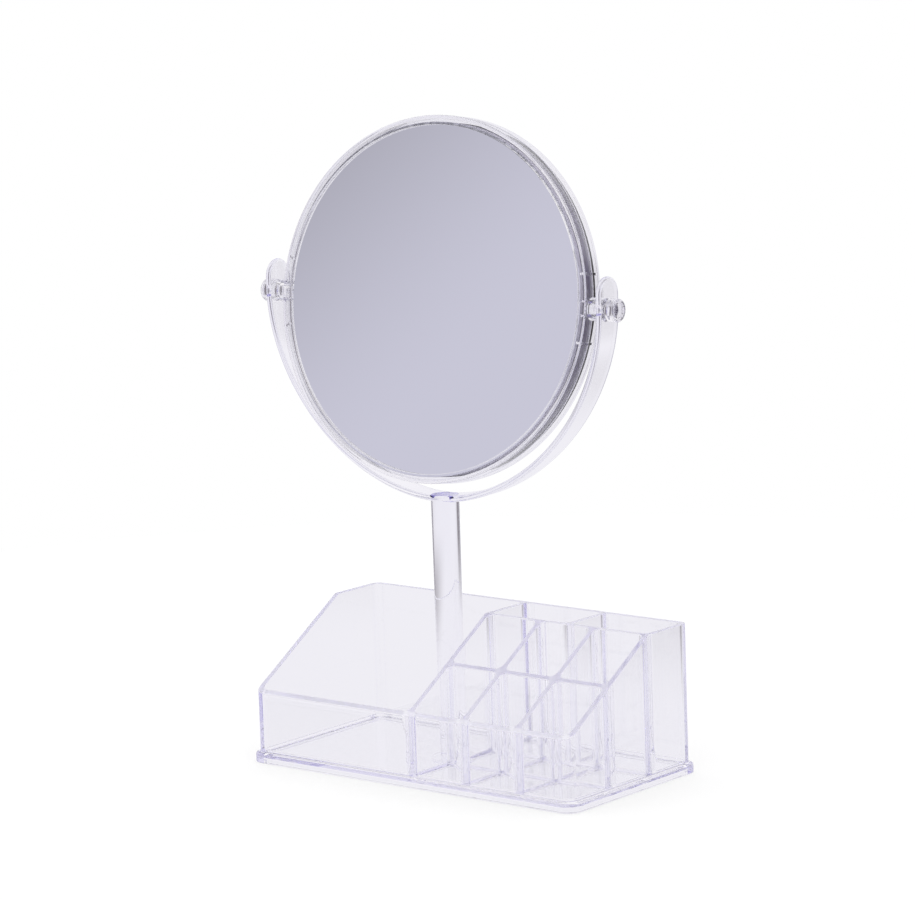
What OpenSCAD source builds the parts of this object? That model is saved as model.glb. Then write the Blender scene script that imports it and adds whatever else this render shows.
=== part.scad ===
// Cosmetics organiser tray in clear plastic with a round two-sided mirror on a swivel stand.
//
// The tray is one moulding: a deep open bay on the left and eight upright slots on the right.
// A round post turns on a spigot on the tray's floor and carries a U-shaped yoke. The mirror
// head swings end over end between the yoke's ears: two clear half frames with a plane mirror
// in front and a magnifying one behind.
//
// The origin is where the post's axis meets the surface that the tray stands on.
// X runs to the right, Y to the back, Z up.

/* [Tray] */
// Width of the tray above its foot skirt
tray_w = 180; // [170:1:200]
// Depth of the tray above its foot skirt
tray_d = 88; // [82:1:96]
// Height of the back wall
back_h = 67.5; // [64:0.5:76]
// Height of the front wall
front_h = 32; // [28:1:36]
// Length of the level top edge of the side walls, from the back
level_top = 30; // [24:1:36]
// Thickness of the outer walls
wall_t = 2.4; // [2.2:0.1:2.8]
// Thickness of the dividers
divider_t = 2.2; // [1.8:0.1:2.6]
// Thickness of the floor
floor_t = 2.2; // [2:0.1:2.6]
// Outside radius of the upright corners
corner_r = 4.3; // [4:0.1:6]
// Radius of the upright corners inside the bay and the slots
pocket_r = 3; // [2:0.1:3.5]
// Radius where the floor meets the walls
floor_r = 1.8; // [1:0.1:2]

/* [Foot] */
// Height of the skirt around the foot
skirt_h = 4.8; // [4.4:0.1:6]
// How far the skirt stands out from the walls
skirt_out = 2.2; // [1.8:0.1:3]
// Rounding of the skirt's outer edge
skirt_r = 1.6; // [1:0.1:1.7]
// Depth of the hollow under the floor
under_h = 2; // [1.6:0.1:2.2]
// Width of the rim that the tray stands on
rim_w = 4.4; // [4:0.1:5]

/* [Slots] */
// Columns of slots in the front and middle rows
front_cols = 3; // [2:1:3]
// Columns of slots in the rear row
rear_cols = 2; // [1:1:3]

/* [Post] */
// Height of the post's top above the surface that the tray stands on
post_h = 119.5; // [100:0.5:150]
// Diameter of the post at the yoke
post_top_d = 12.7; // [12.4:0.1:14]
// Diameter of the post at the tray's floor
post_foot_d = 12; // [11.6:0.1:12.4]
// Gap between the post and the divider beside it
post_gap = 3.5; // [3:0.5:8]
// Diameter of the spigot that the post turns on
spigot_d = 8; // [7:0.1:8.4]
// Height of the spigot above the floor
spigot_h = 14; // [10:1:20]
// Diameter of the pad under the spigot
pad_d = 20; // [16:1:24]

/* [Yoke] */
// Gap between the mirror frame and the yoke's arms at the pivots
yoke_gap = 5.8; // [5.6:0.1:8]
// Exponent of the yoke's curve, where 2 is a circle
yoke_n = 1.88; // [1.86:0.01:2]
// Thickness of the yoke's band
band_t = 2.8; // [2.4:0.1:3]
// Breadth of the band at the bottom
band_low_w = 12; // [11:0.5:14]
// Breadth of the band at the ears
ear_w = 15.5; // [14:0.5:17]
// Height of the ears above the pivot axis
ear_top = 14.5; // [13:0.5:17]
// Height of the round foot that joins the band to the post
yoke_foot_h = 1; // [0.8:0.1:2]

/* [Mirror head] */
// Outer radius of the round frame
frame_r = 81.4; // [72:0.2:92]
// Depth of each half frame
frame_half = 6.5; // [6.3:0.1:7.5]
// Width of the lip that holds the glass
lip_w = 4.3; // [4:0.1:5.4]
// Thickness of the lip in front of the glass
lip_t = 1.6; // [1.4:0.1:1.7]
// Thickness of the frame's outer wall
rim_t = 1.6; // [1.4:0.1:1.8]
// Rounding of the frame's outer edge
frame_edge_r = 1.2; // [0.8:0.1:1.4]
// Radial length of the small ribs beside the pivots
rib_len = 1.2; // [1:0.1:1.3]
// Thickness of the ribs
rib_t = 1; // [0.8:0.1:1.1]
// Height of the outer ribs above and below the pivot axis
rib_reach = 15; // [10:0.5:20]
// Thickness of the plane mirror
plane_t = 3; // [2:0.5:3]
// Thickness of the magnifying mirror
dish_t = 2.5; // [2:0.1:2.5]
// Radius of curvature of the magnifying mirror
dish_curve_r = 1000; // [950:50:1500]
// Turn of the head away from square, to the left of someone facing it
head_turn = 4.5; // [-30:0.5:30]
// Backward lean of the mirror
mirror_tilt = 9; // [-30:1:30]

/* [Pivots] */
// Diameter of the pin heads and of the bosses on the frame
pin_head_d = 10.3; // [9.6:0.1:10.6]
// Length of the pin head
pin_head_l = 4.8; // [4:0.1:6]
// Diameter of the pin shaft
pin_d = 5; // [4.6:0.1:5.2]
// Diameter of the dimple in the pin head
dimple_d = 7; // [6:0.1:7.6]
// Depth of the dimple
dimple_h = 0.8; // [0.5:0.1:1.2]
// Rounding of the pin head's edge
pin_edge_r = 1; // [0.6:0.1:1]

/* [Fits] */
// Radial clearance of the post on its spigot and of the pins in the ears
run_gap = 0.05; // [0.03:0.01:0.08]
// Gap beside each ear, to the boss and to the pin head
ear_gap = 0.3; // [0.3:0.05:0.5]
// Clearance around each mirror's edge, and between a pin and the ribs beside it
glass_gap = 0.2; // [0.1:0.05:0.3]
// Clearance above the end of the spigot
spigot_end_gap = 0.5; // [0.3:0.1:1]

/* [Hidden] */
$fn = 96;
// Overlap that lets two solids of one moulding fuse
bite = 0.4;
// Overshoot of a cutting tool past the face that it opens
past = 1;

floor_z = under_h + floor_t;
half_w = tray_w / 2;
row_d = tray_d / 3;
slope_d = tray_d - level_top;
// The post stands in the open bay, beside the divider that closes it
post_x = half_w - divider_t / 2 - post_gap - post_foot_d / 2;
post_y = tray_d / 2;
bore_d = spigot_d + 2 * run_gap;

// The yoke's curve is as deep below the pivot axis as it is wide on each side of it
ear_in = frame_r + yoke_gap;
yoke_r = ear_in + band_t;
pivot_h = post_h + yoke_foot_h + yoke_r;
lip_r = frame_r - lip_w;
seat_r = frame_r - rim_t;
seat_h = frame_half - lip_t;
glass_r = seat_r - rib_len - glass_gap;
boss_end = ear_in - ear_gap;
pin_head_x = yoke_r + ear_gap;
pin_tip_x = seat_r - rib_len / 2;
// Heights of the ribs from the pivot axis, as angles around the frame
rib_near = asin(((pin_d + rib_t) / 2 + glass_gap) / seat_r);
rib_far = asin(rib_reach / seat_r);

plastic = [0.86, 0.86, 0.93, 0.45];
silver = [0.72, 0.72, 0.80];

// ---- placing ----

module in_tray() {
    translate([-post_x, -post_y, 0]) children();
}

module on_stand() {
    rotate([0, 0, head_turn]) children();
}

// The head's own frame: X along the pivot axis, Y to the back, Z up the mirror
module on_head() {
    on_stand() translate([0, 0, pivot_h]) rotate([-mirror_tilt, 0, 0]) children();
}

// ---- tray ----

module rounded_rect(x0, x1, y0, y1, r) {
    translate([x0 + r, y0]) square([x1 - x0 - 2 * r, y1 - y0]);
    translate([x0, y0 + r]) square([x1 - x0, y1 - y0 - 2 * r]);
    for (x = [x0 + r, x1 - r], y = [y0 + r, y1 - r]) translate([x, y]) circle(r);
}

// Section of a trough from a to b with rounded lower edges, as high as the tray
module trough(a, b) {
    top = back_h + past;
    translate([a, floor_z + floor_r]) square([b - a, top - floor_z - floor_r]);
    translate([a + floor_r, floor_z]) square([b - a - 2 * floor_r, top - floor_z]);
    for (x = [a + floor_r, b - floor_r]) translate([x, floor_z + floor_r]) circle(floor_r);
}

// The space inside a bay or a slot
module pocket(x0, x1, y0, y1) {
    intersection() {
        linear_extrude(back_h + 2 * past) rounded_rect(x0, x1, y0, y1, pocket_r);
        translate([0, y1 + past, 0]) rotate([90, 0, 0])
            linear_extrude(y1 - y0 + 2 * past) trough(x0, x1);
        translate([x0 - past, 0, 0]) rotate([90, 0, 90])
            linear_extrude(x1 - x0 + 2 * past) trough(y0, y1);
    }
}

// Cell k of n between the walls at lo and hi, where the wall at lo is a divider's centre line
function cell_lo(lo, hi, n, k) = lo + (hi - lo) * k / n + divider_t / 2;
function cell_hi(lo, hi, n, k) =
    k == n - 1 ? hi - wall_t : lo + (hi - lo) * (k + 1) / n - divider_t / 2;
function row_lo(j) = j == 0 ? wall_t : row_d * j + divider_t / 2;
function row_hi(j) = j == 2 ? tray_d - wall_t : row_d * (j + 1) - divider_t / 2;

module slots() {
    for (j = [0:2]) {
        cols = j == 2 ? rear_cols : front_cols;
        for (k = [0:cols - 1])
            pocket(cell_lo(half_w, tray_w, cols, k), cell_hi(half_w, tray_w, cols, k),
                   row_lo(j), row_hi(j));
    }
}

// Side view of the walls: level at the back, then sloping down to the front wall
module side_view() {
    polygon([[-past, 0], [tray_d + past, 0], [tray_d + past, back_h],
             [slope_d, back_h], [0, front_h], [-past, front_h]]);
}

module wall_block() {
    intersection() {
        linear_extrude(back_h) rounded_rect(0, tray_w, 0, tray_d, corner_r);
        translate([-past, 0, 0]) rotate([90, 0, 90])
            linear_extrude(tray_w + 2 * past) side_view();
    }
}

// Section of the skirt, measured outwards from the wall's outer face
module skirt_section() {
    translate([-bite, 0]) square([bite + skirt_out - skirt_r, skirt_h]);
    translate([-bite, 0]) square([bite + skirt_out, skirt_h - skirt_r]);
    translate([skirt_out - skirt_r, skirt_h - skirt_r]) circle(skirt_r);
}

module skirt_side(length) {
    rotate([90, 0, 0]) linear_extrude(length) skirt_section();
}

module skirt() {
    w = tray_w - 2 * corner_r;
    d = tray_d - 2 * corner_r;
    translate([tray_w, tray_d - corner_r, 0]) skirt_side(d);
    translate([0, corner_r, 0]) rotate(180) skirt_side(d);
    translate([corner_r, tray_d, 0]) rotate(90) skirt_side(w);
    translate([tray_w - corner_r, 0, 0]) rotate(-90) skirt_side(w);
    for (c = [[tray_w, tray_d, 0], [0, tray_d, 90], [0, 0, 180], [tray_w, 0, 270]]) {
        x = c[0] == 0 ? corner_r : tray_w - corner_r;
        y = c[1] == 0 ? corner_r : tray_d - corner_r;
        translate([x, y, 0]) rotate(c[2])
            rotate_extrude(angle = 90) translate([corner_r, 0]) skirt_section();
    }
}

module under_hollow() {
    inset = rim_w - skirt_out;
    difference() {
        translate([0, 0, -past]) linear_extrude(under_h + past)
            rounded_rect(inset, tray_w - inset, inset, tray_d - inset, corner_r);
        translate([post_x, post_y, -2 * past]) cylinder(d = pad_d, h = under_h + 4 * past);
    }
}

module organiser_tray() {
    color(plastic) in_tray() {
        difference() {
            union() {
                wall_block();
                skirt();
            }
            pocket(wall_t, half_w - divider_t / 2, wall_t, tray_d - wall_t);
            slots();
            under_hollow();
        }
        translate([post_x, post_y, floor_z - bite]) cylinder(d = spigot_d, h = spigot_h + bite);
    }
}

// ---- stand ----

module stand_post() {
    color(plastic) on_stand() difference() {
        translate([0, 0, floor_z])
            cylinder(d1 = post_foot_d, d2 = post_top_d, h = post_h - floor_z);
        translate([0, 0, floor_z - past])
            cylinder(d = bore_d, h = spigot_h + spigot_end_gap + past);
    }
}

// Lower half of a rounded curve of half width r, from the left ear to the right one
function yoke_curve(r) = [for (a = [180:3.75:360])
    [r * sign(cos(a)) * pow(abs(cos(a)), 2 / yoke_n), -r * pow(abs(sin(a)), 2 / yoke_n)]];

module yoke_outline(r, top) {
    polygon(concat([[-r, top]], yoke_curve(r), [[r, top]]));
}

// Side view of the band: narrow at the bottom, broad at the ears, with round tops
module band_side() {
    ear_r = ear_w / 2;
    polygon([[-band_low_w / 2, -yoke_r - past], [band_low_w / 2, -yoke_r - past],
             [ear_r, 0], [ear_r, ear_top - ear_r], [-ear_r, ear_top - ear_r], [-ear_r, 0]]);
    translate([0, ear_top - ear_r]) circle(ear_r);
}

module yoke() {
    color(plastic) on_stand() translate([0, 0, pivot_h]) difference() {
        union() {
            intersection() {
                translate([0, ear_w, 0]) rotate([90, 0, 0]) linear_extrude(2 * ear_w) difference() {
                    yoke_outline(yoke_r, ear_top);
                    yoke_outline(ear_in, ear_top + past);
                }
                translate([-yoke_r - past, 0, 0]) rotate([90, 0, 90])
                    linear_extrude(2 * (yoke_r + past)) band_side();
            }
            translate([0, 0, -yoke_r - yoke_foot_h])
                cylinder(d = post_top_d, h = yoke_foot_h + band_t / 2);
        }
        for (side = [-1, 1]) translate([side * (yoke_r - band_t / 2), 0, 0]) rotate([0, 90, 0])
            cylinder(d = pin_d + 2 * run_gap, h = band_t + 2 * past, center = true);
    }
}

// ---- mirror head ----

// Section of a half frame: radius across, distance from the seam upwards
module frame_section() {
    difference() {
        union() {
            translate([lip_r, 0]) square([frame_r - lip_r, frame_half - frame_edge_r]);
            translate([lip_r, 0]) square([frame_r - lip_r - frame_edge_r, frame_half]);
            translate([frame_r - frame_edge_r, frame_half - frame_edge_r]) circle(frame_edge_r);
        }
        translate([lip_r - past, -past]) square([seat_r - lip_r + past, seat_h + past]);
    }
}

// Half of the boss that a pin enters, on the right of the front half frame
module half_boss() {
    root_x = seat_r + rim_t / 2;
    intersection() {
        translate([root_x, 0, 0]) rotate([0, 90, 0]) cylinder(d = pin_head_d, h = boss_end - root_x);
        translate([seat_r, -pin_head_d, -pin_head_d]) cube([boss_end, pin_head_d, 2 * pin_head_d]);
    }
}

// Front half of the frame. The rear half is the same moulding turned about.
module half_frame() {
    difference() {
        union() {
            rotate([90, 0, 0]) rotate_extrude($fn = 180) frame_section();
            for (side = [0, 1]) mirror([side, 0, 0]) {
                half_boss();
                for (a = [-rib_far, -rib_near, rib_near, rib_far]) rotate([0, a, 0])
                    translate([seat_r - rib_len, -seat_h, -rib_t / 2])
                        cube([rib_len + bite, seat_h, rib_t]);
            }
        }
        for (side = [-1, 1]) translate([side * boss_end, 0, 0]) rotate([0, 90, 0])
            cylinder(d = pin_d, h = 2 * (boss_end - seat_r + past), center = true);
    }
}

module front_frame() {
    color(plastic) on_head() half_frame();
}

module rear_frame() {
    color(plastic) on_head() rotate([0, 0, 180]) half_frame();
}

module plane_mirror() {
    color(silver) on_head() translate([0, -seat_h, 0]) rotate([-90, 0, 0])
        cylinder(r = glass_r, h = plane_t, $fn = 180);
}

// Height of a dish of curvature r at a distance x from its axis, zero at the glass's edge
function dish_y(r, x) = sqrt(r * r - glass_r * glass_r) - sqrt(r * r - x * x);

module magnifying_mirror() {
    steps = 8;
    back_r = dish_curve_r + dish_t;
    shift = sqrt(dish_curve_r * dish_curve_r - glass_r * glass_r)
        - sqrt(back_r * back_r - glass_r * glass_r);
    face = [for (i = [0:steps]) let (x = glass_r * i / steps) [x, dish_y(dish_curve_r, x)]];
    back = [for (i = [steps:-1:0]) let (x = glass_r * i / steps)
        [x, dish_y(back_r, x) + shift]];
    color(silver) on_head() translate([0, seat_h, 0]) rotate([-90, 0, 0])
        rotate_extrude($fn = 180) polygon(concat(face, back));
}

// Right-hand pin along +X from its tip to its dimpled head
module pivot_pin() {
    head_r = pin_head_d / 2;
    rotate([0, 90, 0]) {
        translate([0, 0, pin_tip_x]) cylinder(d = pin_d, h = pin_head_x - pin_tip_x + bite);
        translate([0, 0, pin_head_x]) difference() {
            rotate_extrude() {
                square([head_r, pin_head_l - pin_edge_r]);
                square([head_r - pin_edge_r, pin_head_l]);
                translate([head_r - pin_edge_r, pin_head_l - pin_edge_r]) circle(pin_edge_r);
            }
            translate([0, 0, pin_head_l - dimple_h]) cylinder(d = dimple_d, h = dimple_h + past);
        }
    }
}

module pivot_pin_left() {
    color(plastic) on_head() mirror([1, 0, 0]) pivot_pin();
}

module pivot_pin_right() {
    color(plastic) on_head() pivot_pin();
}

organiser_tray();
stand_post();
yoke();
front_frame();
rear_frame();
plane_mirror();
magnifying_mirror();
pivot_pin_left();
pivot_pin_right();
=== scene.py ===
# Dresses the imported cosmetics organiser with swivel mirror: clear plastic, two glass mirrors,
# a white table and a pale studio. Lengths are in millimetres until a mesh is set down in the scene.
import math
from functools import partial

import bmesh
import bpy
from mathutils import Matrix, Vector
from mathutils.geometry import delaunay_2d_cdt


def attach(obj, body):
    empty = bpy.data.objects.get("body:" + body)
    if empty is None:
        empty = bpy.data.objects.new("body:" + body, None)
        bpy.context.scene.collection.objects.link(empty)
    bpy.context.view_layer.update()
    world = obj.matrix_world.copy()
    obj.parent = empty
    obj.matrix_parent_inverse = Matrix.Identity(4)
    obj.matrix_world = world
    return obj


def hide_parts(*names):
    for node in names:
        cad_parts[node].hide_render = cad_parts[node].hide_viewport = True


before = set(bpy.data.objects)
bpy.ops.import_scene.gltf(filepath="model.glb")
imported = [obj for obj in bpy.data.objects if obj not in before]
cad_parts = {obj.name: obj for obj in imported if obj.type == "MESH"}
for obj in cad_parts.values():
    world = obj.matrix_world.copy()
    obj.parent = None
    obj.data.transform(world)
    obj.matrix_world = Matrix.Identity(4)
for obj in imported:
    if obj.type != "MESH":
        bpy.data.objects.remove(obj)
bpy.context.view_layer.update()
scene = bpy.context.scene
MM = 0.001

# ---- sizes, the same as the part's ----

# Tray
TRAY_W = 180.0
TRAY_D = 88.0
BACK_H = 67.5
FRONT_H = 32.0
LEVEL_TOP = 30.0  # depth of the side walls' level top, at the back
WALL_T = 2.4
DIVIDER_T = 2.2
FLOOR_T = 2.2
CORNER_R = 4.3
POCKET_R = 3.0
FLOOR_R = 1.8  # between a pocket's walls and its floor
ROWS = 3
FRONT_COLS = 3
REAR_COLS = 2
SKIRT_H = 4.8
SKIRT_OUT = 2.2
SKIRT_R = 1.6
UNDER_H = 2.0  # depth of the hollow underneath
RIM_W = 4.4  # of the foot round that hollow
PAD_D = 20.0  # pad under the post

# Post and yoke
POST_H = 119.5  # from the table to the post's top
POST_TOP_D = 12.7
POST_FOOT_D = 12.0
POST_GAP = 3.5  # from the post to the divider beside it
YOKE_GAP = 5.8  # from the head to an ear
YOKE_N = 1.88  # exponent of the yoke's superellipse
YOKE_FOOT_H = 1.0
BAND_T = 2.8
BAND_LOW_W = 12.0
EAR_W = 15.5
EAR_TOP = 14.5  # above the pins' axis

# Mirror head
FRAME_R = 81.4
FRAME_HALF = 6.5  # depth of one half frame
FRAME_EDGE_R = 1.2
LIP_W = 4.3
LIP_T = 1.6
RIM_T = 1.6
RIB_LEN = 1.2
RIB_T = 1.0
RIB_REACH = 15.0  # of the outer ribs, above and below a pin
PLANE_T = 3.0
DISH_T = 2.5
DISH_CURVE_R = 1000.0
HEAD_TURN = 4.5  # degrees
MIRROR_TILT = 9.0  # degrees

# Pins
PIN_D = 5.0
PIN_HEAD_D = 10.3
PIN_HEAD_L = 4.8
PIN_EDGE_R = 1.0
DIMPLE_D = 7.0
DIMPLE_H = 0.8

# Clearances
RUN_GAP = 0.05
EAR_GAP = 0.3
GLASS_GAP = 0.2

# Worked out from those above
FLOOR_Z = UNDER_H + FLOOR_T
HALF_W = TRAY_W / 2
ROW_D = TRAY_D / ROWS
SLOPE_D = TRAY_D - LEVEL_TOP
POST_X = HALF_W - DIVIDER_T / 2 - POST_GAP - POST_FOOT_D / 2
POST_Y = TRAY_D / 2
EAR_IN = FRAME_R + YOKE_GAP
YOKE_R = EAR_IN + BAND_T
BAND_R = YOKE_R - BAND_T / 2
PIVOT_H = POST_H + YOKE_FOOT_H + YOKE_R
LIP_R = FRAME_R - LIP_W
SEAT_R = FRAME_R - RIM_T
SEAT_H = FRAME_HALF - LIP_T
GLASS_R = SEAT_R - RIB_LEN - GLASS_GAP
BOSS_END = EAR_IN - EAR_GAP
PIN_HEAD_X = YOKE_R + EAR_GAP
PIN_TIP_X = SEAT_R - RIB_LEN / 2

# ---- finish of the mouldings ----

# The thin air gap that shows between two clear parts. The bosses and the ribs stand further back
# from the seam than the rim does, so that no two faces of a half frame lie in one plane.
FILM = 0.03
BOSS_FILM = 1.6 * FILM
RIB_FILM = 2.2 * FILM

# Rounded edges. Where an edge has one point between its ends, that point lies ROUND_MID of the
# radius inside both faces.
ROUND_MID = 0.3
EDGE_R = 0.35  # top of the tray's walls
FILLET_R = 0.3  # between the walls and the skirt
FOOT_R = 0.5
POST_TOP_R = 0.4
POST_FOOT_R = 0.3
POST_FOOT_MID = 0.1
BAND_EDGE_R = 1.25
SEAM_IN_R = 0.08
SEAM_OUT_R = 0.12
LIP_EDGE_R = 0.5
LIP_FOOT_R = 0.2
SEAT_CORNER_R = 0.3
BOSS_EDGE_R = 0.3
PIN_TIP_R = 0.2
PIN_SOFT_R = 0.3
DIMPLE_SLOPE = 0.5
PIN_SLACK = 0.005

RIB_ROOT = 0.4  # how far a rib runs into the rim
RIB_SINK = 0.2  # how far it runs into the lip
EAR_HOLE_REACH = 3.0  # cutters run past what they cut
BORE_REACH_IN = 3.0
BORE_REACH_OUT = 1.0

# Numbers of the materials on a mirror, and of the tray's wall tops lightened with painted light
SILVER_LOOK, PAINT_LOOK, EDGE_LOOK, RING_LOOK = range(4)
SLOPE_LIT_LOOK, LEVEL_LIT_LOOK = 1, 2

# Mirrors
GLASS_BEVEL = 0.12
RING_W = 0.9  # ring at the edge of the back that the paint leaves free

# Facets round each kind of curve
CORNER_STEPS = 10
EDGE_STEPS = 4
FILLET_STEPS = 3
FLOOR_STEPS = 6
SKIRT_STEPS = 6
PAD_STEPS = 48
EAR_STEPS = 12
EAR_SIDE_STEPS = 4
BEND_STEPS = 120
BAND_EDGE_STEPS = 8
POST_STEPS = 96
TAPER_STEPS = 12
SOFT_STEPS = 6
FRAME_STEPS = 288
BOSS_STEPS = 28
HOLE_STEPS = 48
PIN_STEPS = 72
GLASS_STEPS = 192
GLASS_RINGS = 24

# Edges sharper than this many degrees stay sharp
SHARP = 35
TRAY_SHARP = 40

# Tolerances: closer vertices are welded, shorter edges are dropped, and closer points meet in a plan
WELD = 1e-4
TINY = 1e-5
NEAR = 1e-7

# Where each moving or standing part is set down
STAND = Matrix.Rotation(math.radians(HEAD_TURN), 4, "Z")
HEAD = STAND @ Matrix.Translation((0, 0, PIVOT_H)) @ Matrix.Rotation(math.radians(-MIRROR_TILT), 4, "X")
TRAY = Matrix.Translation((-POST_X, -POST_Y, 0))


# ---- mesh helpers ----

def arc(centre_x, centre_y, radius, start, end, steps):
    """Points along an arc, between two angles in degrees."""
    points = []
    for i in range(steps + 1):
        angle = math.radians(start + (end - start) * i / steps)
        points.append((centre_x + radius * math.cos(angle), centre_y + radius * math.sin(angle)))
    return points


def quarter(steps):
    """Angles from 0 to a right angle."""
    return [math.pi / 2 * k / steps for k in range(steps + 1)]


def soften(corners):
    """A closed outline from corners of (x, y, radius), each rounded by its own radius."""
    outline = []
    places = [Vector((x, y)) for x, y, radius in corners]
    for i, (x, y, radius) in enumerate(corners):
        if radius <= 0:
            outline.append((x, y))
            continue
        corner = places[i]
        before = places[i - 1] - corner
        after = places[(i + 1) % len(places)] - corner
        half = before.angle(after) / 2
        back = radius / math.tan(half)
        before.normalize()
        after.normalize()
        centre = corner + (before + after).normalized() * (radius / math.sin(half))
        start = corner + before * back - centre
        end = corner + after * back - centre
        side = 1 if start.x * end.y - start.y * end.x > 0 else -1
        turn = side * (math.pi - 2 * half)
        for k in range(SOFT_STEPS + 1):
            angle = turn * k / SOFT_STEPS
            outline.append((centre.x + start.x * math.cos(angle) - start.y * math.sin(angle),
                            centre.y + start.x * math.sin(angle) + start.y * math.cos(angle)))
    return outline


def rounded(x0, x1, y0, y1, radius):
    """Points round a rectangle with rounded corners, anticlockwise."""
    return (arc(x1 - radius, y0 + radius, radius, -90, 0, CORNER_STEPS)
            + arc(x1 - radius, y1 - radius, radius, 0, 90, CORNER_STEPS)
            + arc(x0 + radius, y1 - radius, radius, 90, 180, CORNER_STEPS)
            + arc(x0 + radius, y0 + radius, radius, 180, 270, CORNER_STEPS))


def level_loop(bm, points, z):
    """Vertices at one height."""
    return [bm.verts.new((x, y, z)) for x, y in points]


def bridge(bm, first, second):
    """Quads between two closed loops of as many vertices."""
    for i in range(len(first)):
        after = (i + 1) % len(first)
        bm.faces.new((first[i], first[after], second[after], second[i]))


def lathe(bm, outline, steps, closed=False):
    """Turns an outline of (radius, height) about Z. Points at radius 0 become one point."""
    angles = [2 * math.pi * i / steps for i in range(steps)]
    loops = []
    for radius, z in outline:
        if radius < TINY:
            loops.append([bm.verts.new((0, 0, z))])
        else:
            loops.append([bm.verts.new((radius * math.cos(angle), radius * math.sin(angle), z))
                          for angle in angles])
    pairs = list(zip(loops, loops[1:]))
    if closed:
        pairs.append((loops[-1], loops[0]))
    for first, second in pairs:
        if len(first) > 1 and len(second) > 1:
            bridge(bm, first, second)
        elif len(second) > 1:
            for i in range(steps):
                bm.faces.new((first[0], second[(i + 1) % steps], second[i]))
        elif len(first) > 1:
            for i in range(steps):
                bm.faces.new((first[i], first[(i + 1) % steps], second[0]))


def solid(name, bm):
    """An object from a bmesh, still in millimetres."""
    bmesh.ops.remove_doubles(bm, verts=bm.verts, dist=WELD)
    bmesh.ops.recalc_face_normals(bm, faces=bm.faces)
    mesh = bpy.data.meshes.new(name)
    bm.to_mesh(mesh)
    bm.free()
    piece = bpy.data.objects.new(name, mesh)
    scene.collection.objects.link(piece)
    return piece


def apply_modifiers(piece):
    """Gives the piece the mesh that its modifiers make."""
    made = bpy.data.meshes.new_from_object(piece.evaluated_get(bpy.context.evaluated_depsgraph_get()))
    piece.modifiers.clear()
    old = piece.data
    piece.data = made
    bpy.data.meshes.remove(old)


def combine(piece, other, operation):
    """Fuses other with the piece, or cuts it out, and deletes it."""
    join = piece.modifiers.new("join", "BOOLEAN")
    join.operation = operation
    join.solver = "EXACT"
    join.object = other
    apply_modifiers(piece)
    bpy.data.objects.remove(other)


def set_down(piece, matrix, sharp=SHARP):
    """Puts the piece in the scene in metres, smooth but for its sharp edges."""
    piece.data.transform(Matrix.Scale(MM, 4) @ matrix)
    piece.data.shade_smooth()
    piece.data.set_sharp_from_angle(angle=math.radians(sharp))
    normals = piece.modifiers.new("normals", "WEIGHTED_NORMAL")
    normals.keep_sharp = True
    normals.weight = 100
    apply_modifiers(piece)
    return piece


def cylinder_along_x(name, radius, start, end, matrix):
    bm = bmesh.new()
    lathe(bm, [(0, start), (radius, start), (radius, end), (0, end)], HOLE_STEPS)
    bm.transform(matrix @ Matrix.Rotation(math.pi / 2, 4, "Y"))
    return solid(name, bm)


# ---- tray ----

# The tray is made with level walls this high, whose tops are then lowered to the slopes
TALL = 1000.0


def slot_span(columns, k):
    """Where the k-th slot of a row starts and ends."""
    slots_w = TRAY_W - HALF_W
    start = HALF_W + slots_w * k / columns + DIVIDER_T / 2
    if k == columns - 1:
        return start, TRAY_W - WALL_T
    return start, HALF_W + slots_w * (k + 1) / columns - DIVIDER_T / 2


def pockets():
    """(x0, x1, y0, y1) of the open bay and of each slot."""
    found = [(WALL_T, HALF_W - DIVIDER_T / 2, WALL_T, TRAY_D - WALL_T)]
    last = ROWS - 1
    for row in range(ROWS):
        y0 = WALL_T if row == 0 else ROW_D * row + DIVIDER_T / 2
        y1 = TRAY_D - WALL_T if row == last else ROW_D * (row + 1) - DIVIDER_T / 2
        columns = REAR_COLS if row == last else FRONT_COLS
        for k in range(columns):
            found.append((*slot_span(columns, k), y0, y1))
    return found


def top_edge(side, corner_r):
    """Rows of (inset, corner radius, height) over a wall's top edge. Side is 1 outside, -1 in a pocket."""
    rows = []
    for angle in quarter(EDGE_STEPS):
        inset = side * EDGE_R * (1 - math.sin(angle))
        rows.append((inset, corner_r - inset, TALL - EDGE_R * (1 - math.cos(angle))))
    return rows


def outside_rows():
    """Rows from the walls' top edge down over the skirt, and up into the hollow underneath."""
    rows = top_edge(1, CORNER_R)
    for angle in quarter(FILLET_STEPS):
        out = FILLET_R * (1 - math.cos(angle))
        rows.append((-out, CORNER_R + out, SKIRT_H + FILLET_R * (1 - math.sin(angle))))
    for angle in quarter(SKIRT_STEPS):
        out = SKIRT_OUT - SKIRT_R + SKIRT_R * math.sin(angle)
        rows.append((-out, CORNER_R + out, SKIRT_H - SKIRT_R + SKIRT_R * math.cos(angle)))
    for angle in quarter(EDGE_STEPS):
        out = SKIRT_OUT - FOOT_R + FOOT_R * math.cos(angle)
        rows.append((-out, CORNER_R + out, FOOT_R - FOOT_R * math.sin(angle)))
    inset = RIM_W - SKIRT_OUT
    return rows + [(inset, CORNER_R, 0), (inset, CORNER_R, UNDER_H)]


def pocket_rows():
    """Rows from a pocket's top edge down to its floor."""
    rows = top_edge(-1, POCKET_R)
    for angle in quarter(FLOOR_STEPS):
        inset = FLOOR_R * (1 - math.cos(angle))
        rows.append((inset, POCKET_R - inset, FLOOR_Z + FLOOR_R * (1 - math.sin(angle))))
    return rows


def row_loops(bm, box, rows):
    """A loop of vertices round the box for each row."""
    x0, x1, y0, y1 = box
    return [level_loop(bm, rounded(x0 + inset, x1 - inset, y0 + inset, y1 - inset, radius), z)
            for inset, radius, z in rows]


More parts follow.
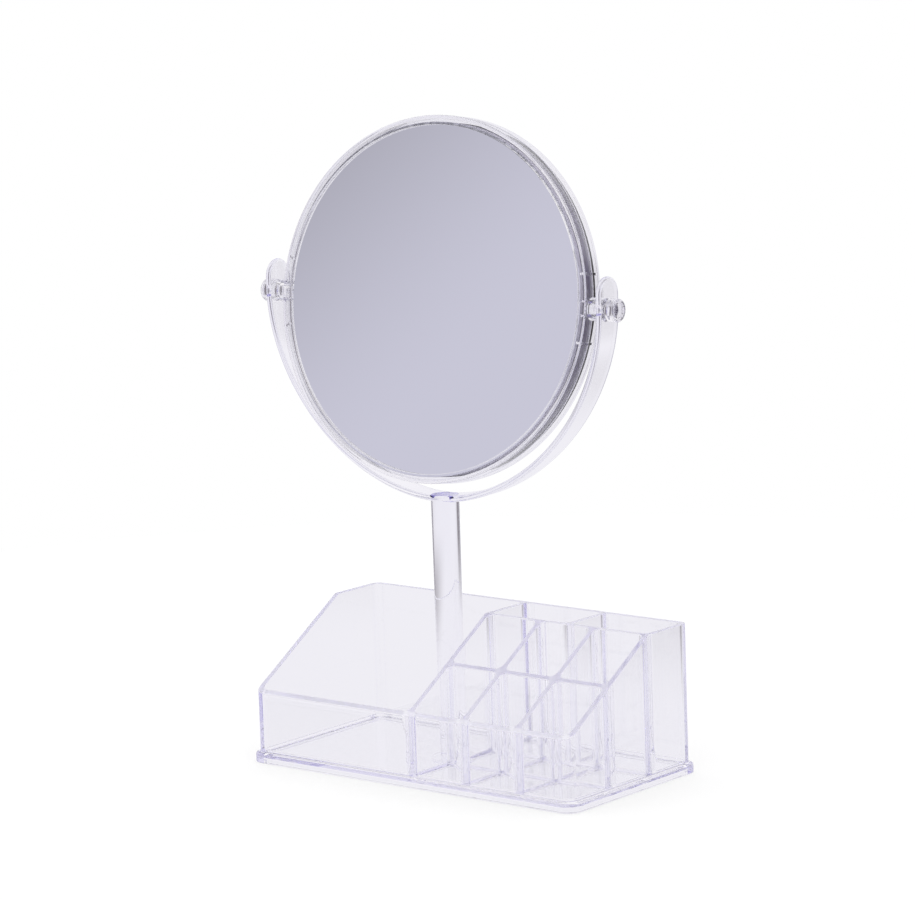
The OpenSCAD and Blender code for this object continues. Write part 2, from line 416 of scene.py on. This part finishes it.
def inside(place, outline):
    """Whether a place lies within a closed outline."""
    hit = False
    for start, end in zip(outline, outline[1:] + outline[:1]):
        if (start.y > place.y) == (end.y > place.y):
            continue
        if place.x < (end.x - start.x) * (place.y - start.y) / (end.y - start.y) + start.x:
            hit = not hit
    return hit


def fill(bm, loops):
    """Flat faces between an outer loop and the loops inside it."""
    verts = [vert for loop in loops for vert in loop]
    places = [Vector((vert.co.x, vert.co.y)) for vert in verts]
    edges = []
    outlines = []
    start = 0
    for loop in loops:
        count = len(loop)
        edges += [(start + i, start + (i + 1) % count) for i in range(count)]
        outlines.append(places[start:start + count])
        start += count
    hull_triangles = 0
    made = delaunay_2d_cdt(places, edges, [], hull_triangles, NEAR)
    faces, origins = made[2], made[3]
    for face in faces:
        ids = [origins[i][0] for i in face]
        centre = sum((places[i] for i in ids), Vector((0, 0))) / len(ids)
        if inside(centre, outlines[0]) and not any(inside(centre, hole) for hole in outlines[1:]):
            bm.faces.new([verts[i] for i in ids])


def organiser_tray():
    """The whole tray as one skin: outside, hollow, pad under the post, and pockets."""
    bm = bmesh.new()
    outer = row_loops(bm, (0, TRAY_W, 0, TRAY_D), outside_rows())
    for upper, lower in zip(outer, outer[1:]):
        bridge(bm, lower, upper)
    pad = arc(POST_X, POST_Y, PAD_D / 2, 0, 360 - 360 / PAD_STEPS, PAD_STEPS - 1)
    pad_top = level_loop(bm, pad, UNDER_H)
    pad_low = level_loop(bm, pad, 0)
    bridge(bm, pad_top, pad_low)
    bm.faces.new(pad_low)
    fill(bm, [outer[-1], pad_top])
    top_loops = [outer[0]]
    for box in pockets():
        loops = row_loops(bm, box, pocket_rows())
        for upper, lower in zip(loops, loops[1:]):
            bridge(bm, upper, lower)
        bm.faces.new(loops[-1])
        top_loops.append(loops[0])
    fill(bm, top_loops)
    # The side walls bend where their level top ends, so the mesh gets an edge there
    geometry = bm.verts[:] + bm.edges[:] + bm.faces[:]
    bmesh.ops.bisect_plane(bm, geom=geometry, dist=TINY, plane_co=(0, SLOPE_D, 0), plane_no=(0, 1, 0))
    for vert in bm.verts:
        if vert.co.z > TALL / 2:
            fall = (BACK_H - FRONT_H) * max(0.0, SLOPE_D - vert.co.y) / SLOPE_D
            vert.co.z += BACK_H - TALL - fall
    return set_down(solid("tray", bm), TRAY, TRAY_SHARP)


# ---- stand ----

def yoke_point(half_width, along):
    """(x, z) on the yoke's curve: the bend from 0 to 1, the left ear below 0, the right one above 1."""
    if along < 0:
        return -half_width, -along
    if along > 1:
        return half_width, along - 1
    angle = math.pi * (1 + along)
    power = 2 / YOKE_N
    return (half_width * math.copysign(abs(math.cos(angle)) ** power, math.cos(angle)),
            -half_width * abs(math.sin(angle)) ** power)


def ear_point(is_right, height, angle, inset, out):
    """A point of an ear. A cut leaves its middle line at a height, level or bent up by an angle."""
    radius = EAR_W / 2 - inset
    z = height + radius * math.sin(angle)
    x, z = yoke_point(BAND_R + out, 1 + z if is_right else -z)
    return x, radius * math.cos(angle), z


def bend_point(along, inset, out):
    """A point of the bend, which narrows downwards."""
    x, z = yoke_point(BAND_R + out, along)
    half = EAR_W / 2 + (BAND_LOW_W / 2 - EAR_W / 2) * min(1.0, -z / YOKE_R)
    return x, half - inset, z


def band_section():
    """Half of the band's section, as (inset from its edge, distance out from its middle)."""
    points = []
    for k in range(BAND_EDGE_STEPS + 1):
        angle = math.pi / 2 * (1 - k / BAND_EDGE_STEPS)
        points.append((BAND_EDGE_R * (1 - math.cos(angle)),
                       -(BAND_T / 2 - BAND_EDGE_R) - BAND_EDGE_R * math.sin(angle)))
    return points + [(inset, -out) for inset, out in reversed(points)]


def yoke():
    """The band with its two ears, drilled for the pins."""
    round_at = EAR_TOP - EAR_W / 2
    straight = [round_at * (1 - i / EAR_SIDE_STEPS) for i in range(1, EAR_SIDE_STEPS)]
    cuts = [partial(ear_point, False, round_at, angle) for angle in reversed(quarter(EAR_STEPS))]
    cuts += [partial(ear_point, False, height, 0) for height in straight]
    cuts += [partial(bend_point, i / BEND_STEPS) for i in range(BEND_STEPS + 1)]
    cuts += [partial(ear_point, True, height, 0) for height in reversed(straight)]
    cuts += [partial(ear_point, True, round_at, angle) for angle in quarter(EAR_STEPS)]
    half = band_section()
    around = [(1, *point) for point in half] + [(-1, *point) for point in reversed(half)]
    bm = bmesh.new()
    previous = None
    for cut in cuts:
        loop = []
        for side, inset, out in around:
            x, y, z = cut(inset, out)
            loop.append(bm.verts.new((x, side * y, z)))
        if previous:
            bridge(bm, previous, loop)
        previous = loop
    bmesh.ops.remove_doubles(bm, verts=bm.verts, dist=WELD)
    bmesh.ops.dissolve_degenerate(bm, edges=bm.edges, dist=TINY)
    bm.transform(Matrix.Translation((0, 0, PIVOT_H)))
    band = solid("stand", bm)
    for side in (-1, 1):
        at = Matrix.Translation((side * BAND_R, 0, PIVOT_H))
        hole = cylinder_along_x("hole", PIN_D / 2 + RUN_GAP, -EAR_HOLE_REACH, EAR_HOLE_REACH, at)
        combine(band, hole, "DIFFERENCE")
    return band


def post():
    """The tapered post, which ends inside the yoke's band."""
    foot = FLOOR_Z + FILM
    taper_from = foot + POST_FOOT_R
    top = PIVOT_H - YOKE_R + BAND_T / 2
    foot_r = POST_FOOT_D / 2
    top_r = POST_TOP_D / 2
    top_mid = ROUND_MID * POST_TOP_R
    outline = [(0, foot), (foot_r - POST_FOOT_R, foot), (foot_r - POST_FOOT_MID, foot + POST_FOOT_MID),
               (foot_r, taper_from)]
    for k in range(1, TAPER_STEPS + 1):
        outline.append((foot_r + (top_r - foot_r) * k / TAPER_STEPS,
                        taper_from + (POST_H - taper_from) * k / TAPER_STEPS))
    outline += [(top_r, top - POST_TOP_R), (top_r - top_mid, top - top_mid),
                (top_r - POST_TOP_R, top), (0, top)]
    bm = bmesh.new()
    lathe(bm, outline, POST_STEPS)
    return solid("post", bm)


def stand():
    """Yoke and post as one clear moulding, because the photograph shows no joint between them."""
    piece = yoke()
    combine(piece, post(), "UNION")
    return set_down(piece, STAND)


# ---- mirror head ----

def half_rim(name):
    """The ring of one half frame, with the lip that holds its mirror."""
    bm = bmesh.new()
    outline = soften([
        (SEAT_R, FILM, SEAM_IN_R),
        (FRAME_R - FILM, FILM, SEAM_OUT_R),
        (FRAME_R - FILM, FRAME_HALF, FRAME_EDGE_R),
        (LIP_R, FRAME_HALF, LIP_EDGE_R),
        (LIP_R, SEAT_H, LIP_FOOT_R),
        (SEAT_R, SEAT_H, SEAT_CORNER_R)])
    lathe(bm, outline, FRAME_STEPS, closed=True)
    # The section was turned about Z, and the head's own Y axis points to the back
    bm.transform(Matrix.Rotation(math.pi / 2, 4, "X"))
    return solid(name, bm)


def half_boss(turn):
    """Half of the boss that holds a pin, from inside the rim out to the ear."""
    bm = bmesh.new()
    radius = PIN_HEAD_D / 2
    mid = ROUND_MID * BOSS_EDGE_R
    stations = [(SEAT_R + RIM_T / 2, radius), (BOSS_END - BOSS_EDGE_R, radius),
                (BOSS_END - mid, radius - mid), (BOSS_END, radius - BOSS_EDGE_R)]
    loops = []
    for x, size in stations:
        loop = []
        for i in range(BOSS_STEPS + 1):
            angle = math.pi * i / BOSS_STEPS
            y = -BOSS_FILM - (size - BOSS_FILM) * math.sin(angle)
            loop.append(bm.verts.new((x, y, size * math.cos(angle))))
        loops.append(loop)
    for first, second in zip(loops, loops[1:]):
        bridge(bm, first, second)
    bm.faces.new(loops[0])
    bm.faces.new(loops[-1])
    bm.transform(turn)
    return solid("boss", bm)


def rib(turn, angle):
    """A rib between the rim and the mirror's edge."""
    bm = bmesh.new()
    bmesh.ops.create_cube(bm, size=1)
    for vert in bm.verts:
        vert.co = Vector((SEAT_R - RIB_LEN + (vert.co.x + 0.5) * (RIB_LEN + RIB_ROOT),
                          -RIB_FILM - (vert.co.y + 0.5) * (SEAT_H - RIB_FILM + RIB_SINK),
                          vert.co.z * RIB_T))
    bm.transform(turn @ Matrix.Rotation(angle, 4, "Y"))
    return solid("rib", bm)


def half_frame(name, is_rear):
    """One half of the frame, with its half bosses and ribs."""
    piece = half_rim(name)
    near = math.asin(((PIN_D + RIB_T) / 2 + GLASS_GAP) / SEAT_R)
    far = math.asin(RIB_REACH / SEAT_R)
    for side in (0, math.pi):
        turn = Matrix.Rotation(side, 4, "Y")
        combine(piece, half_boss(turn), "UNION")
        for angle in (-far, -near, near, far):
            combine(piece, rib(turn, angle), "UNION")
        start = SEAT_R - BORE_REACH_IN
        end = BOSS_END + BORE_REACH_OUT
        combine(piece, cylinder_along_x("bore", PIN_D / 2 + FILM, start, end, turn), "DIFFERENCE")
    return set_down(piece, HEAD @ Matrix.Rotation(math.pi, 4, "Z") if is_rear else HEAD)


def pivot_pin(name, is_left):
    """A headed pin with a dimple in its head."""
    bm = bmesh.new()
    shaft_r = PIN_D / 2 - PIN_SLACK
    head_r = PIN_HEAD_D / 2
    dimple_r = DIMPLE_D / 2
    end = PIN_HEAD_X + PIN_HEAD_L
    outline = [(0, PIN_TIP_X), (shaft_r - PIN_TIP_R, PIN_TIP_X), (shaft_r, PIN_TIP_X + PIN_TIP_R)]
    outline += soften([
        (shaft_r, PIN_HEAD_X, 0),
        (head_r, PIN_HEAD_X, PIN_SOFT_R),
        (head_r, end, PIN_EDGE_R),
        (dimple_r, end, PIN_SOFT_R),
        (dimple_r - DIMPLE_SLOPE, end - DIMPLE_H, PIN_SOFT_R),
        (0, end - DIMPLE_H, 0)])
    lathe(bm, outline, PIN_STEPS)
    bm.transform(Matrix.Rotation(math.pi / 2, 4, "Y"))
    if is_left:
        bm.transform(Matrix.Rotation(math.pi, 4, "Z"))
    return set_down(solid(name, bm), HEAD)


def dish(curve_r):
    """Height of a hollow face over its radius. It meets the lip's seat at the mirror's edge."""
    centre = SEAT_H + math.sqrt(curve_r * curve_r - GLASS_R * GLASS_R)
    return lambda radius: centre - math.sqrt(max(0.0, curve_r * curve_r - radius * radius))


def mirror(name, low, high, silvered_low, edge, ring):
    """A round mirror between two curves, silvered on one face and painted on the other. The paint ends
    at a ring round the edge."""
    bm = bmesh.new()
    painted_r = GLASS_R - RING_W
    radii = [painted_r * i / GLASS_RINGS for i in range(GLASS_RINGS + 1)] + [GLASS_R - GLASS_BEVEL]
    outline = [(radius, low(radius)) for radius in radii]
    outline += [(GLASS_R, low(GLASS_R) + GLASS_BEVEL), (GLASS_R, high(GLASS_R) - GLASS_BEVEL)]
    outline += [(radius, high(radius)) for radius in reversed(radii)]
    lathe(bm, outline, GLASS_STEPS)
    bm.transform(Matrix.Rotation(-math.pi / 2, 4, "X"))
    piece = set_down(solid(name, bm), HEAD)
    for look in (silver, paint, edge, ring):
        piece.data.materials.append(look)
    to_head = HEAD.inverted() @ Matrix.Scale(1 / MM, 4)
    for face in piece.data.polygons:
        centre = to_head @ face.center
        radius = math.hypot(centre.x, centre.z)
        is_low = centre.y < (low(radius) + high(radius)) / 2
        if radius > GLASS_R - GLASS_BEVEL:
            face.material_index = EDGE_LOOK
        elif is_low == silvered_low:
            face.material_index = SILVER_LOOK
        else:
            face.material_index = PAINT_LOOK if radius < painted_r else RING_LOOK
    return piece


# ---- materials ----

ABSORBED = (1.7, 1.9, 0.4)
PLASTIC_IOR = 1.57


def material(name, color, **values):
    """A plain shader with its colour and other inputs set, spaces written as underscores."""
    made = bpy.data.materials.new(name)
    made.use_nodes = True
    shader = made.node_tree.nodes["Principled BSDF"]
    shader.inputs["Base Color"].default_value = (*color, 1)
    for key, value in values.items():
        shader.inputs[key.replace("_", " ")].default_value = value
    return made


def clear(name, **values):
    """Clear polystyrene, which swallows ABSORBED (red, green, blue) of the light per metre."""
    made = material(name, (1, 1, 1), IOR=PLASTIC_IOR, **values)
    tree = made.node_tree
    absorb = tree.nodes.new("ShaderNodeVolumeAbsorption")
    # The node swallows density * (1 - colour), so the density has to be above the largest share
    density = 1.25 * max(ABSORBED)
    absorb.inputs["Density"].default_value = density
    absorb.inputs["Color"].default_value = (*(1 - share / density for share in ABSORBED), 1)
    tree.links.new(absorb.outputs[0], tree.nodes["Material Output"].inputs["Volume"])
    return made


tray_plastic = clear("tray_plastic", Roughness=0.0, Transmission_Weight=1.0)
# Milkier copies of the clear plastic for the wall tops: their white share is painted light, which makes the
# rims paler
tray_slope_lit = clear("tray_rim_painted_light", Roughness=0.3, Transmission_Weight=0.92)
tray_level_lit = clear("tray_lip_painted_light", Roughness=0.3, Transmission_Weight=0.65)
stand_plastic = clear("stand_plastic", Roughness=0.0, Transmission_Weight=1.0)
frame_plastic = clear("frame_plastic", Roughness=0.0, Transmission_Weight=1.0)
pin_plastic = clear("pin_plastic", Roughness=0.1, Transmission_Weight=1.0)
silver = material("silver", (0.95, 0.95, 0.95), Metallic=1.0, Roughness=0.0)
ground_edge = material("ground_glass_edge", (0.9, 0.87, 1.0), Roughness=0.5)
paint = material("grey_back_paint", (0.62, 0.58, 0.74), Roughness=0.6)
# The ring that the paint leaves bare on the dished mirror's back, given a pale diffuse colour: painted
# reflection in place of the bright silver seen through the glass there
pale_ring_painted_reflection = material("bare_ring_painted_reflection", (0.9, 0.9, 0.95), Roughness=0.5)
# Near-black rim of the dished mirror, which draws the dark line round its edge
dark_edge = material("near_black_rim", (0.005, 0.004, 0.007), Roughness=0.6, Specular_IOR_Level=0.1)


def lighten_rims(tray):
    """Gives the tops of the walls, sloping or level, milkier copies of the clear plastic, whose white share
    is painted light that makes them paler. The front and left walls look as level ones do."""
    lowest = FRONT_H - 2
    upward = 0.5
    level = 0.84
    rise = 0.6
    near = 0.1
    for face in tray.data.polygons:
        at = face.center / MM + Vector((POST_X, POST_Y, 0))
        if at.z <= lowest:
            continue
        if face.normal.z > upward and min(at.x, at.y) < WALL_T:
            face.material_index = LEVEL_LIT_LOOK
        elif face.normal.z > upward and abs(face.normal.y + rise * face.normal.z) < near:
            face.material_index = SLOPE_LIT_LOOK
        elif face.normal.z > level:
            face.material_index = LEVEL_LIT_LOOK


# ---- pieces ----

dish_front = dish(DISH_CURVE_R + DISH_T)
pieces = [
    (organiser_tray(), "base", ["organiser_tray"], "tray_plastic", [tray_plastic, tray_slope_lit, tray_level_lit]),
    (stand(), "stand", ["stand_post", "yoke"], "stand_plastic", [stand_plastic]),
    (half_frame("frame_front", False), "head", ["front_frame"], "frame_plastic", [frame_plastic]),
    (half_frame("frame_rear", True), "head", ["rear_frame"], "frame_plastic", [frame_plastic]),
    (pivot_pin("pin_left", True), "head", ["pivot_pin_left"], "pin_plastic", [pin_plastic]),
    (pivot_pin("pin_right", False), "head", ["pivot_pin_right"], "pin_plastic", [pin_plastic]),
    (mirror("mirror_plane", lambda radius: -SEAT_H, lambda radius: PLANE_T - SEAT_H, True,
            ground_edge, paint),
     "head", ["plane_mirror"], "mirror_glass", []),
    (mirror("mirror_dished", lambda radius: dish_front(radius) - DISH_T, dish(DISH_CURVE_R), False,
            dark_edge, pale_ring_painted_reflection),
     "head", ["magnifying_mirror"], "mirror_glass", []),
]
for piece, body, nodes, slot, looks in pieces:
    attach(piece, body)
    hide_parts(*nodes)
    for look in looks:
        piece.data.materials.append(look)
lighten_rims(pieces[0][0])

# ---- camera ----

CAMERA_AT = (1212.5015, -1466.4259, 467.3912)
AZIMUTH = math.radians(39.3974)  # to the right of the front
ELEVATION = math.radians(9.6784)
ROLL = math.radians(-1.9069)


def camera_axes():
    """The camera's right, up and back directions."""
    back = Vector((math.sin(AZIMUTH) * math.cos(ELEVATION), -math.cos(AZIMUTH) * math.cos(ELEVATION),
                   math.sin(ELEVATION)))
    right = Vector((math.cos(AZIMUTH), math.sin(AZIMUTH), 0))
    up = back.cross(right)
    return (right * math.cos(ROLL) + up * math.sin(ROLL), up * math.cos(ROLL) - right * math.sin(ROLL), back)


camera = bpy.data.objects.new("camera", bpy.data.cameras.new("camera"))
scene.collection.objects.link(camera)
moved = Matrix.Translation([value * MM for value in CAMERA_AT])
camera.matrix_world = moved @ Matrix(camera_axes()).transposed().to_4x4()
camera.data.sensor_fit = "HORIZONTAL"
camera.data.sensor_width = 36
camera.data.lens = 170.7576
camera.data.clip_start = 0.05
camera.data.clip_end = 50
scene.camera = camera
scene.view_settings.view_transform = "Standard"

# Enough for light to get through all the walls of the tray
BOUNCES = 128
scene.cycles.max_bounces = BOUNCES
scene.cycles.transmission_bounces = BOUNCES
scene.cycles.glossy_bounces = BOUNCES


# ---- shader nodes ----

class Shader:
    """Adds nodes to one node tree. Apart from add and feed, a call returns the new node's output."""

    def __init__(self, tree):
        self.tree = tree

    def add(self, kind, **settings):
        made = self.tree.nodes.new(kind)
        for key, value in settings.items():
            setattr(made, key, value)
        return made

    def feed(self, socket, value):
        """Joins an output to the socket, or sets a colour or a number on it."""
        if isinstance(value, tuple):
            socket.default_value = (*value, 1)
        elif isinstance(value, (int, float)):
            socket.default_value = value
        else:
            self.tree.links.new(value, socket)

    def calculate(self, operation, first, second):
        made = self.add("ShaderNodeMath", operation=operation)
        self.feed(made.inputs[0], first)
        self.feed(made.inputs[1], second)
        return made.outputs[0]

    def length(self, vector):
        made = self.add("ShaderNodeVectorMath", operation="LENGTH")
        self.feed(made.inputs[0], vector)
        return made.outputs["Value"]

    def reach(self, vector, direction):
        """How far the vector goes in a direction."""
        made = self.add("ShaderNodeVectorMath", operation="DOT_PRODUCT")
        made.inputs[1].default_value = direction
        self.feed(made.inputs[0], vector)
        return made.outputs["Value"]

    def ramp(self, value, start, end, low=0.0, high=1.0):
        """Goes smoothly from low at the start to high at the end."""
        made = self.add("ShaderNodeMapRange", interpolation_type="SMOOTHSTEP")
        made.inputs["From Min"].default_value = start
        made.inputs["From Max"].default_value = end
        made.inputs["To Min"].default_value = low
        made.inputs["To Max"].default_value = high
        self.feed(made.inputs["Value"], value)
        return made.outputs["Result"]

    def blend(self, factor, first, second):
        """Goes from the first colour to the second."""
        made = self.add("ShaderNodeMix", data_type="RGBA")
        self.feed(made.inputs[0], factor)
        self.feed(made.inputs[6], first)
        self.feed(made.inputs[7], second)
        return made.outputs[2]

    def light(self, kind, color, strength=1.0):
        made = self.add(kind)
        self.feed(made.inputs["Color"], color)
        made.inputs["Strength"].default_value = strength
        return made.outputs[0]

    def choose(self, factor, first, second):
        """Goes from the first shader to the second."""
        made = self.add("ShaderNodeMixShader")
        self.feed(made.inputs[0], factor)
        self.feed(made.inputs[1], first)
        self.feed(made.inputs[2], second)
        return made.outputs[0]


# ---- studio ----

WHITE = (1.0, 1.0, 1.0)
FRONT = (0.606, 0.600, 0.716)
TOP = (1.0, 0.985, 1.0)
BACK = (0.883, 0.871, 0.926)
DARK = (0.323, 0.319, 0.372)
SHADE = (0.22, 0.20, 0.22)
# Painted light: the glow the table gives through plastic and in the mirrors
TABLE_GLOW = (0.87, 0.86, 0.91)
SOFT_LIGHT = 1.25  # strength of the even light on rough surfaces

# Zones of the studio, each laid over those before it: its direction, how far that way a ray goes
# where the zone starts and where it is full, and its colour. The two dark ones, behind on the right
# and on the left, draw the clear parts' edges.
ZONES = [
    ((0, 1, 0), -0.45, 0.05, BACK),
    ((0.615, 0.785, -0.08), 0.92, 0.97, SHADE),
    (tuple(Vector((-0.98, -0.20, -0.10)).normalized()), 0.92, 0.98, SHADE),
    ((0, 0, 1), 0.25, 0.6, TOP),
]

# The front is dark above on the left and fades out towards FADE_WAY. FADE_AT is how far that way
# the mirror's middle looks, and the fade runs from a little before it to a little after.
FADE_WAY = Vector((0.67, -0.45, -0.60)).normalized()
FADE_AT = FADE_WAY.dot(Vector((-0.5052, -0.8550, 0.1235)).normalized())
FADE_START = FADE_AT - 0.0825
FADE_END = FADE_AT + 0.0175
FRONT_WAY = (0, -1, 0)
FRONT_START = 0.3
FRONT_FULL = 0.6


def room_color(studio, way):
    """Colour of the studio in each direction."""
    color = FRONT
    for direction, start, full, zone in ZONES:
        color = studio.blend(studio.ramp(studio.reach(way, direction), start, full), color, zone)
    unfaded = studio.ramp(studio.reach(way, tuple(FADE_WAY)), FADE_START, FADE_END, 1.0, 0.0)
    in_front = studio.ramp(studio.reach(way, FRONT_WAY), FRONT_START, FRONT_FULL)
    return studio.blend(studio.calculate("MULTIPLY", unfaded, in_front), color, DARK)


world = bpy.data.worlds.new("studio")
scene.world = world
world.use_nodes = True
world.node_tree.nodes.clear()
studio = Shader(world.node_tree)
ray = studio.add("ShaderNodeLightPath").outputs
way = studio.add("ShaderNodeTexCoord").outputs["Generated"]
room = studio.light("ShaderNodeBackground", room_color(studio, way))
even = studio.light("ShaderNodeBackground", WHITE, SOFT_LIGHT)
backdrop = studio.light("ShaderNodeBackground", WHITE)
seen = studio.choose(ray["Is Camera Ray"], studio.choose(ray["Is Diffuse Ray"], room, even), backdrop)
studio.feed(studio.add("ShaderNodeOutputWorld").inputs["Surface"], seen)

# ---- floor ----

# In metres
FLOOR_RADIUS = 0.6
FLOOR_DROP = 0.0001
RIM_FADE_START = 0.3
SHADE_START = 0.18
SHADE_END = 0.45

FLOOR_STEPS_ROUND = 96
GLOW_SHARE = 0.7  # the rest shows the object's shadow
SHADE_WAY = tuple(Vector((0.50, 0.85, -0.05)).normalized())

mesh = bpy.data.meshes.new("floor")
bm = bmesh.new()
bmesh.ops.create_circle(bm, cap_ends=True, segments=FLOOR_STEPS_ROUND, radius=FLOOR_RADIUS,
                        matrix=Matrix.Translation((0, 0, -FLOOR_DROP)))
bm.to_mesh(mesh)
bm.free()
floor = bpy.data.objects.new("floor", mesh)
scene.collection.objects.link(floor)
floor_look = material("floor_white", WHITE, Roughness=1.0, Specular_IOR_Level=0.0)
table = Shader(floor_look.node_tree)
spot = table.add("ShaderNodeTexCoord").outputs["Object"]
ray = table.add("ShaderNodeLightPath").outputs

# Straight on, a white table with a faint shadow
rough = floor_look.node_tree.nodes["Principled BSDF"].outputs[0]
direct = table.choose(GLOW_SHARE, rough, table.light("ShaderNodeEmission", WHITE))

# Through plastic and in the mirrors, a table that glows pale, with painted shade darkening the glow to the
# back right, and that fades out at its rim
tone = table.blend(table.ramp(table.reach(spot, SHADE_WAY), SHADE_START, SHADE_END), TABLE_GLOW, SHADE)
glow = table.light("ShaderNodeEmission", tone)
nothing = table.add("ShaderNodeBsdfTransparent").outputs[0]
through = table.choose(table.ramp(table.length(spot), RIM_FADE_START, FLOOR_RADIUS), glow, nothing)

is_through = table.calculate("MAXIMUM", ray["Is Transmission Ray"], ray["Is Glossy Ray"])
table.feed(floor_look.node_tree.nodes["Material Output"].inputs["Surface"],
           table.choose(is_through, direct, through))
mesh.materials.append(floor_look)
